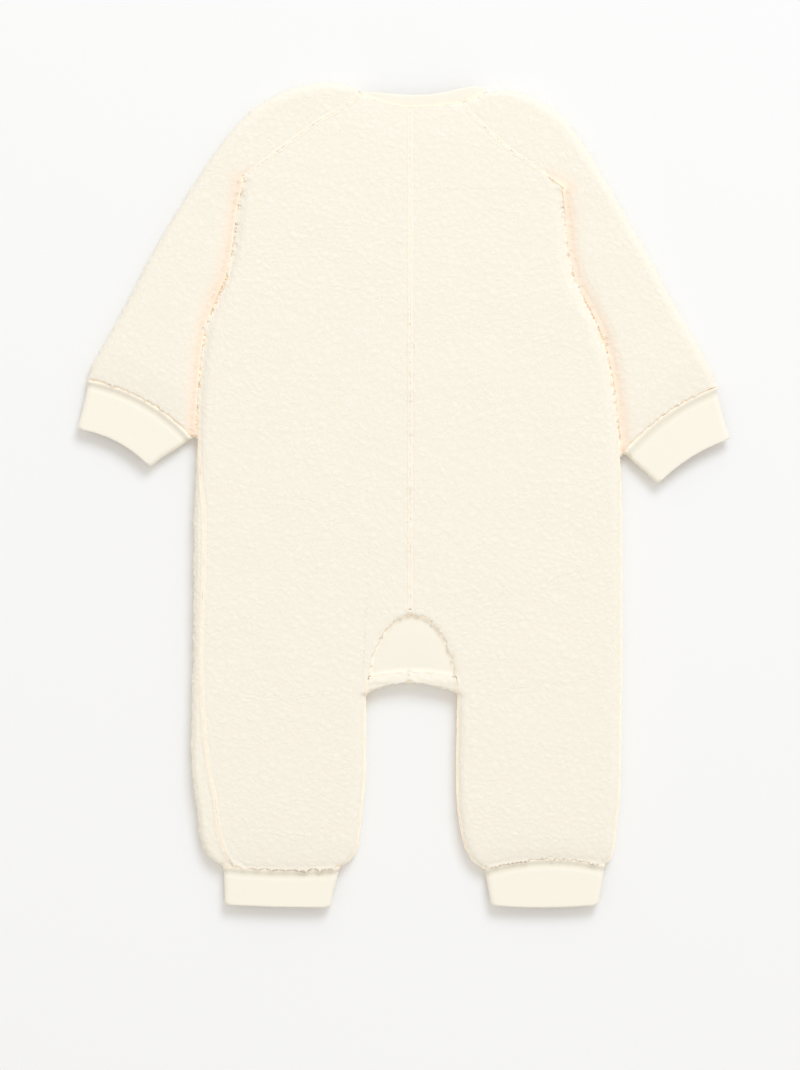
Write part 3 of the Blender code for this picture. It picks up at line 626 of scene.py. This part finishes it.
def placket_material():
    """The same jersey on the placket, whose solid carries no grain of its own."""
    material, tree, shader = new_material("placket jersey", 0.85, 0.2)
    place = tree.nodes.new("ShaderNodeTexCoord").outputs["Object"]
    tree.links.new(knitted(tree, shader, place), shader.inputs["Base Color"])
    return material


def stud_material():
    """Moulded plastic: a faint mottle and a slightly uneven polish."""
    studs = bpy.context.scene.suit_studs
    material, tree, shader = new_material("moulded stud", 0.38)
    place = tree.nodes.new("ShaderNodeTexCoord").outputs["Object"]
    mottle = noise(tree, place, MOTTLE_SCALE, 4.0)
    colour = mixed(tree, mottle.outputs["Fac"], (*studs.shade, 1.0), (*studs.colour, 1.0))
    tree.links.new(colour, shader.inputs["Base Color"])
    polish = maths(tree, "MULTIPLY_ADD", mottle.outputs["Fac"], 0.16, 0.3)
    tree.links.new(polish, shader.inputs["Roughness"])
    bumped(tree, shader, mottle.outputs["Fac"], 0.1, MOTTLE_RELIEF)
    return material


# ---- fleece pieces -------------------------------------------------------------------------
FLEECE = ("back", "front", "sleeve")        # how the fleece solids' names start
BODY_SEED = 20              # the same on backs and fronts, so that clumps run over their seams
SLEEVE_SEEDS = 100          # between the sleeves' own and the body's
SLEEVE_TURN = math.radians(28.0)    # of the cloth's grain on a sleeve
TUCK_WIDTH = 14.0 * MM      # of the painted warm shade on a sleeve beside the body's edge
ARMPIT = 203.0 * MM         # where that shade starts, up from the origin
TUCK_FADE = 14.0 * MM
SEAM_LIFT = 0.8 * MM        # the pile fills the dip along a seam
SEAM_PAINTED_SHADE = 0.18          # share of the painted warm shade in it
OVER_REACH = 7.0 * MM       # of an edge that is drawn over the next layer
OVER_FULL = 0.4             # share of that reach over which an edge is wholly drawn
TUFT, TUFT_SEED = 1.7 * MM, 61      # size of the tufts on those edges
TUFT_DEPTH = 0.8
SLEEVE_RISE = 1.2 * MM      # of a sleeve's inner edge, under the body's
GLOW_REACH = 4.0 * MM       # painted glow: emission stands in for light coming through the pile this close to the next layer
GLOW_SHARE = 0.4            # of that painted light on the pile; hidden faces take all of it
SEAM_GLOW = 0.15            # of that painted light on the level pile at a seam
TUCK_GLOW = 0.35            # of that painted light on a sleeve right under the body's edge
FLEECE_EASED = 4            # rounds of smoothing before the pile is raised
SWELL, SWELL_SIZE, SWELL_SEED = 0.3 * MM, 26.0 * MM, 11     # slow rise and fall of the cloth
FUZZ_SIZE, FUZZ_SEED = 1.9 * MM, 31
AT_SEAM = 0.3 * MM          # this close to the next solid a seam's values hold in full
MEAN_HEIGHT = 0.62          # clump height at which the pile has the solid's own surface
SIDE_REACH = 4.0 * MM       # beside a narrower gap the pile keeps to its half
# Ranges over which a value fades in.
STEEP = (0.3, 0.8)          # of how steep an edge is: tufts and painted glow
DRAWN = (0.0, 0.3)          # of how steep an edge is: edges drawn over the next layer
RISING = (0.1, 0.5)         # of how far a surface faces up: the filled dip
RIM = (0.75, 0.95)          # of the tuck: the raised inner edge of a sleeve
RIM_RISING = (-0.2, 0.3)    # of how far it faces up: the same
UNDER_RIM = (0.88, 0.96)    # of the tuck: the painted glow under the body's edge
# How the clumps are drawn out of their even grid.
CLUMP_STRETCH = (0.85, 1.2, 1.15)
SWAY, SWAY_SIZE, SWAY_SEEDS = (0.42, 0.5, 0.3), 0.8, (5, 6, 7)
WANDER, WANDER_SIZE, WANDER_SEED = 0.5, (0.16, 0.5, 0.3), 8
# What the fleece's edges lie over: the solids' names, the heights from which an edge is drawn
# out and from which it is wholly so, how far, and how far up the suit this goes.
OVER_EDGES = (
    ("sleeve", 9.6 * MM, 11.2 * MM, 2.3 * MM, ARMPIT),
    ("cuff_ankle", 9.2 * MM, 10.2 * MM, 2.0 * MM, 1.0),
    ("cuff_wrist", 9.2 * MM, 10.2 * MM, 0.7 * MM, 1.0),
    ("gusset", 10.6 * MM, 11.6 * MM, 1.5 * MM, 1.0),
    ("neckband", 10.4 * MM, 11.4 * MM, 0.8 * MM, 1.0),
)


def along_grain(places, turn):
    """The places, seen from cloth whose grain is turned by this angle."""
    across = places[:, 0] * math.cos(turn) + places[:, 1] * math.sin(turn)
    down = places[:, 1] * math.cos(turn) - places[:, 0] * math.sin(turn)
    return np.stack([across, down, places[:, 2]], axis=1)


def nearness(places, tree, reach, full=0.0):
    """1 up to the distance full from the tree's solids, and 0 beyond reach."""
    return 1.0 - ramp(distance_to(places, tree, reach), full, reach)


def pile_heights(places, turn, seed):
    """Clump height from 0 to 1 at each point, on cloth whose grain is turned by an angle."""
    fleece = bpy.context.scene.suit_fleece
    cloth = along_grain(places, turn) / fleece.clump
    sway = np.stack([soft_noise(cloth * SWAY_SIZE, seed + axis) for axis in SWAY_SEEDS], axis=1)
    wander = soft_noise(cloth * WANDER_SIZE, seed + WANDER_SEED)
    drawn = cloth * CLUMP_STRETCH + sway * SWAY
    drawn[:, 1] += WANDER * wander
    return clumps(drawn, seed)


def draw_over(node, places, sideways, height):
    """Draw the fleece's upper edges out over what they are sewn to or lie on, in tufts."""
    tufts = soft_noise(places / TUFT, TUFT_SEED) * TUFT_DEPTH
    for start, low, high, far, top in OVER_EDGES:
        below = neighbours_of(node, start)
        near = nearness(places, below, OVER_REACH, OVER_FULL * OVER_REACH)
        near *= ramp(places[:, 2], low, high) * ramp(places[:, 1], top + TUCK_FADE, top)
        near *= ramp(1.0 - sideways[:, 2], *DRAWN) * (0.6 + 0.4 * height + tufts)
        places += sideways * (1.0, 1.0, 0.0) * (far * near)[:, None]


def pile_piece(node, turn, seed):
    """Raise the pile on one fleece solid and return the piece."""
    fleece = bpy.context.scene.suit_fleece
    mesh, solids = cut_fine(node, fleece.grid, fleece.under_grid, FLEECE_EASED)
    places, sideways, normals = read_points(mesh)
    height = pile_heights(places, turn, seed)
    swell = soft_noise(places / SWELL_SIZE, seed + SWELL_SEED) * SWELL
    at_seam = nearness(places, solids, SEAM_EDGE, AT_SEAM)
    at_wall = nearness(places, solids, GLOW_REACH)
    edge = ramp(1.0 - np.abs(normals[:, 2]), *STEEP)
    fuzz = edge * soft_noise(places / FUZZ_SIZE, seed + FUZZ_SEED) * fleece.fuzz

    # The dip along a fleece seam is filled straight up, but not where the body lies over a sleeve.
    is_sleeve = node.startswith("sleeve")
    layered = neighbours_of(node, *(("back", "front") if is_sleeve else ("sleeve",)))
    below_armpit = ramp(places[:, 1], ARMPIT + TUCK_FADE, ARMPIT)
    joined = nearness(places, neighbours_of(node, *FLEECE), SEAM_EDGE, AT_SEAM)
    joined *= 1.0 - nearness(places, layered, OVER_REACH) * below_armpit
    filled = SEAM_LIFT * joined * ramp(normals[:, 2], *RISING)

    out = fleece.depth * (height - MEAN_HEIGHT) + swell
    out = out + SEAM_LIFT * at_seam * (1.0 - joined) + fuzz
    aside = np.where(np.abs(normals[:, 2:]) < FACES_UP, normals, 0.0)
    free = room_beyond(places, aside, solids, SIDE_REACH)
    out = np.minimum(out, 0.5 * free - CLEAR)
    upright = normals * (1.0, 1.0, 0.0) * (1.0 - at_seam)[:, None] + normals * (0.0, 0.0, 1.0)
    places = shut_seams(places, sideways, solids) + upright * out[:, None]
    places[:, 2] += filled
    draw_over(node, places, sideways, height)
    tuck = np.zeros(len(places))
    if is_sleeve:
        tuck = nearness(places, layered, TUCK_WIDTH)
        tuck *= ramp(places[:, 1], ARMPIT + TUCK_FADE, ARMPIT)
        inner = ramp(tuck, *RIM) * ramp(normals[:, 2], *RIM_RISING)
        places[:, 2] += SLEEVE_RISE * inner
    places[:, 2] = np.maximum(places[:, 2], 0.0)
    write_points(mesh, places)
    keep(mesh, "clump_height", height)
    # Painted shade: a sleeve beside the body's edge, and the upper pile along every seam, take the
    # warm shade colour.
    painted_seam_shade = SEAM_PAINTED_SHADE * at_seam * (normals[:, 2] > 0.0)
    keep(mesh, "painted_warm_shade", np.maximum(tuck, painted_seam_shade))
    # Painted light: emission on steep edges beside the next layer, along seams and under the body's
    # edge lifts the shade there; hidden faces glow fully.
    glow = np.maximum(GLOW_SHARE * np.maximum(at_wall, tuck) * edge, SEAM_GLOW * at_seam)
    glow = np.maximum(glow, TUCK_GLOW * ramp(tuck, *UNDER_RIM))
    glow[np.abs(normals).sum(axis=1) == 0.0] = 1.0
    keep(mesh, "glow", glow)
    return add_piece(f"pile_{node}", mesh, fleece_material(), "fleece", node)


class SUIT_OT_backs(Operator):
    """Raise the curly pile on the two backs"""
    bl_idname = "suit.backs"
    bl_label = "Fleece backs"

    def execute(self, context):
        for word, side in SIDES:
            piece = pile_piece(f"back_{word}", 0.0, BODY_SEED)
        return {"FINISHED"}


class SUIT_OT_fronts(Operator):
    """Raise the curly pile on the two fronts, flat where they lie on the table"""
    bl_idname = "suit.fronts"
    bl_label = "Fleece fronts"

    def execute(self, context):
        for word, side in SIDES:
            piece = pile_piece(f"front_{word}", 0.0, BODY_SEED)
        return {"FINISHED"}


class SUIT_OT_sleeves(Operator):
    """Raise the curly pile on the two sleeves"""
    bl_idname = "suit.sleeves"
    bl_label = "Fleece sleeves"

    def execute(self, context):
        for word, side in SIDES:
            seed = BODY_SEED + SLEEVE_SEEDS * (2 + side)
            piece = pile_piece(f"sleeve_{word}", side * SLEEVE_TURN, seed)
        return {"FINISHED"}


# ---- jersey pieces -------------------------------------------------------------------------
RIDGE_WIDTH = 2.6 * MM
RIDGE_FULL = 0.5            # share of that width over which the ridge is full
JERSEY_EASED = 3            # rounds of smoothing before the jersey is shaped
TROUGH = (0.8, 1.6, 1.9)    # ridge widths from the seam: it starts, is full, and fades again
TROUGH_END = 8.0 * MM       # from a cuff's seam
TROUGH_DEPTH = 1.1 * MM
OUTSIDE = (-0.1, 0.45)      # of how far a cuff faces up: its shape fades in
GUSSET_RISE = 1.6 * MM
GUSSET_RISE_WIDTH = 6.0 * MM
GUSSET_UP = (0.0, 0.6)      # of how far it faces up: the rise fades in
JERSEY_GLOW_FULL, JERSEY_GLOW_END = 0.5 * MM, 2.6 * MM      # from the pile, of the painted glow


def jersey_piece(node, turn, shape=None):
    """One jersey solid, cut finer, eased and shaped."""
    jersey = bpy.context.scene.suit_jersey
    mesh, solids = cut_fine(node, jersey.grid, jersey.grid, JERSEY_EASED)
    places, sideways, normals = read_points(mesh)
    crease = np.zeros(len(places))
    if shape:
        places, crease = shape(places, normals)
    places = shut_seams(places, sideways, solids)
    write_points(mesh, places)
    grain = mesh.attributes.new("grain", "FLOAT_VECTOR", "POINT")
    grain.data.foreach_set("vector", along_grain(places, turn).ravel())
    keep(mesh, "crease", crease)
    pile = neighbours_of(node, *FLEECE)
    # Painted light: the jersey glows next to the pile, lifting the shade at the seam.
    keep(mesh, "glow", nearness(places, pile, JERSEY_GLOW_END, JERSEY_GLOW_FULL))
    return add_piece(f"jersey_{node}", mesh, jersey_material(), "jersey", node)


def cuff_form(node, fleece_nodes):
    """A cuff's shape: a rolled ridge on its seam, then a trough, then the level face."""
    def form(places, normals):
        roll = bpy.context.scene.suit_jersey.roll
        seam = distance_to(places, neighbours_of(node, *fleece_nodes), TROUGH_END)
        outside = ramp(normals[:, 2], *OUTSIDE)
        ridge = 1.0 - ramp(seam, RIDGE_FULL * RIDGE_WIDTH, RIDGE_WIDTH)
        start, full, fade = (share * RIDGE_WIDTH for share in TROUGH)
        trough = ramp(seam, start, full)
        trough *= 1.0 - ramp(seam, fade, TROUGH_END)
        out = (roll * ridge - TROUGH_DEPTH * trough) * outside
        # The trough's share also sets the painted shade in it.
        return places + normals * out[:, None], trough * outside
    return form


class SUIT_OT_cuffs(Operator):
    """Knit the four cuffs"""
    bl_idname = "suit.cuffs"
    bl_label = "Jersey cuffs"

    def execute(self, context):
        for word, side in SIDES:
            for limb, turn in (("wrist", side * SLEEVE_TURN), ("ankle", 0.0)):
                node = f"cuff_{limb}_{word}"
                fleece_nodes = ("sleeve",) if limb == "wrist" else ("back", "front")
                piece = jersey_piece(node, turn, cuff_form(node, fleece_nodes))
        return {"FINISHED"}


def gusset_form(places, normals):
    """The gusset curves up to the fleece that it is sewn to."""
    body = neighbours_of("gusset", "back", "front")
    rise = nearness(places, body, GUSSET_RISE_WIDTH) * ramp(normals[:, 2], *GUSSET_UP)
    return places + np.outer(rise * GUSSET_RISE, (0.0, 0.0, 1.0)), 0.0 * rise


class SUIT_OT_bands(Operator):
    """Knit the neckband and the crotch gusset"""
    bl_idname = "suit.bands"
    bl_label = "Neckband and gusset"

    def execute(self, context):
        neckband = jersey_piece("neckband", 0.0)
        gusset = jersey_piece("gusset", 0.0, gusset_form)
        return {"FINISHED"}


class SUIT_OT_fastening(Operator):
    """Finish the placket and its press studs"""
    bl_idname = "suit.fastening"
    bl_label = "Press-stud placket"

    def execute(self, context):
        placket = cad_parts["placket"]
        placket.material_slots[0].material = placket_material()
        stud = stud_material()
        for name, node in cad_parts.items():
            if name.startswith("popper"):
                node.material_slots[0].material = stud
        return {"FINISHED"}


# ---- stage ---------------------------------------------------------------------------------
TABLE_HALF = 4.0            # half the table's width, metres
WINDOW_SIZE = 2.75
WINDOW_PLACE = Vector((1.4, 3.6, 4.0))
SENSOR = 36.0               # millimetres, as Blender gives lenses
FAR = 20.0


class SUIT_OT_stage(Operator):
    """Lay the table, hang the lights and set up the camera"""
    bl_idname = "suit.stage"
    bl_label = "Table, light and camera"

    def execute(self, context):
        studio = context.scene.suit_studio
        scene = context.scene
        body = bmesh.new()
        bmesh.ops.create_grid(body, x_segments=1, y_segments=1, size=TABLE_HALF)
        mesh = bpy.data.meshes.new("table")
        body.to_mesh(mesh)
        body.free()
        table = bpy.data.objects.new("table", mesh)
        scene.collection.objects.link(table)
        finish, tree, shader = new_material("white table", 0.7, 0.2)
        shader.inputs["Base Color"].default_value = (*studio.table, 1.0)
        mesh.materials.append(finish)

        world = bpy.data.worlds.new("daylight")
        world.use_nodes = True
        background = world.node_tree.nodes["Background"]
        background.inputs["Color"].default_value = (*studio.room, 1.0)
        background.inputs["Strength"].default_value = studio.daylight
        scene.world = world

        lamp = bpy.data.lights.new("window", "AREA")
        lamp.shape = "DISK"
        lamp.size = WINDOW_SIZE
        lamp.energy = studio.window
        lamp.color = studio.sky
        window = bpy.data.objects.new("window", lamp)
        window.location = WINDOW_PLACE
        window.rotation_mode = "QUATERNION"
        window.rotation_quaternion = (-WINDOW_PLACE).to_track_quat("-Z", "Y")
        scene.collection.objects.link(window)

        lens = bpy.data.cameras.new("camera")
        lens.sensor_width = SENSOR
        lens.lens = lens.sensor_width * (OUTLOOK - PILE_TOP) / (PHOTO_TALL * PIXEL)
        lens.clip_end = FAR
        camera = bpy.data.objects.new("camera", lens)
        camera.location = (*VIEW_CENTRE, OUTLOOK)
        scene.collection.objects.link(camera)
        scene.camera = camera
        scene.view_settings.view_transform = "Standard"
        return {"FINISHED"}


class SUIT_PT_panel(Panel):
    """The sleepsuit's pieces, in the order in which they are made"""
    bl_label = "Fleece sleepsuit"
    bl_idname = "SUIT_PT_panel"
    bl_space_type = "VIEW_3D"
    bl_region_type = "UI"
    bl_category = "Sleepsuit"

    def draw(self, context):
        for group in SETTINGS:
            box = self.layout.box()
            settings = getattr(context.scene, group)
            for name in settings.bl_rna.properties.keys():
                if name not in ("rna_type", "name"):
                    box.prop(settings, name)
        for operator in OPERATORS:
            self.layout.operator(operator.bl_idname)


SETTINGS = {
    "suit_fleece": FleeceSettings,
    "suit_jersey": JerseySettings,
    "suit_studs": StudSettings,
    "suit_studio": StudioSettings,
}
OPERATORS = (SUIT_OT_backs, SUIT_OT_fronts, SUIT_OT_sleeves, SUIT_OT_cuffs, SUIT_OT_bands,
             SUIT_OT_fastening, SUIT_OT_stage)


def register():
    """Add the settings, the operators and the panel."""
    for name, group in SETTINGS.items():
        bpy.utils.register_class(group)
        setattr(bpy.types.Scene, name, PointerProperty(type=group))
    for entry in OPERATORS + (SUIT_PT_panel,):
        bpy.utils.register_class(entry)


def unregister():
    """Take them away again."""
    for entry in (SUIT_PT_panel,) + OPERATORS[::-1]:
        bpy.utils.unregister_class(entry)
    for name, group in SETTINGS.items():
        delattr(bpy.types.Scene, name)
        bpy.utils.unregister_class(group)


def main():
    """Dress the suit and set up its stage."""
    register()
    bpy.ops.suit.backs()
    bpy.ops.suit.fronts()
    bpy.ops.suit.sleeves()
    bpy.ops.suit.cuffs()
    bpy.ops.suit.bands()
    bpy.ops.suit.fastening()
    bpy.ops.suit.stage()


if __name__ == "__main__":
    main()
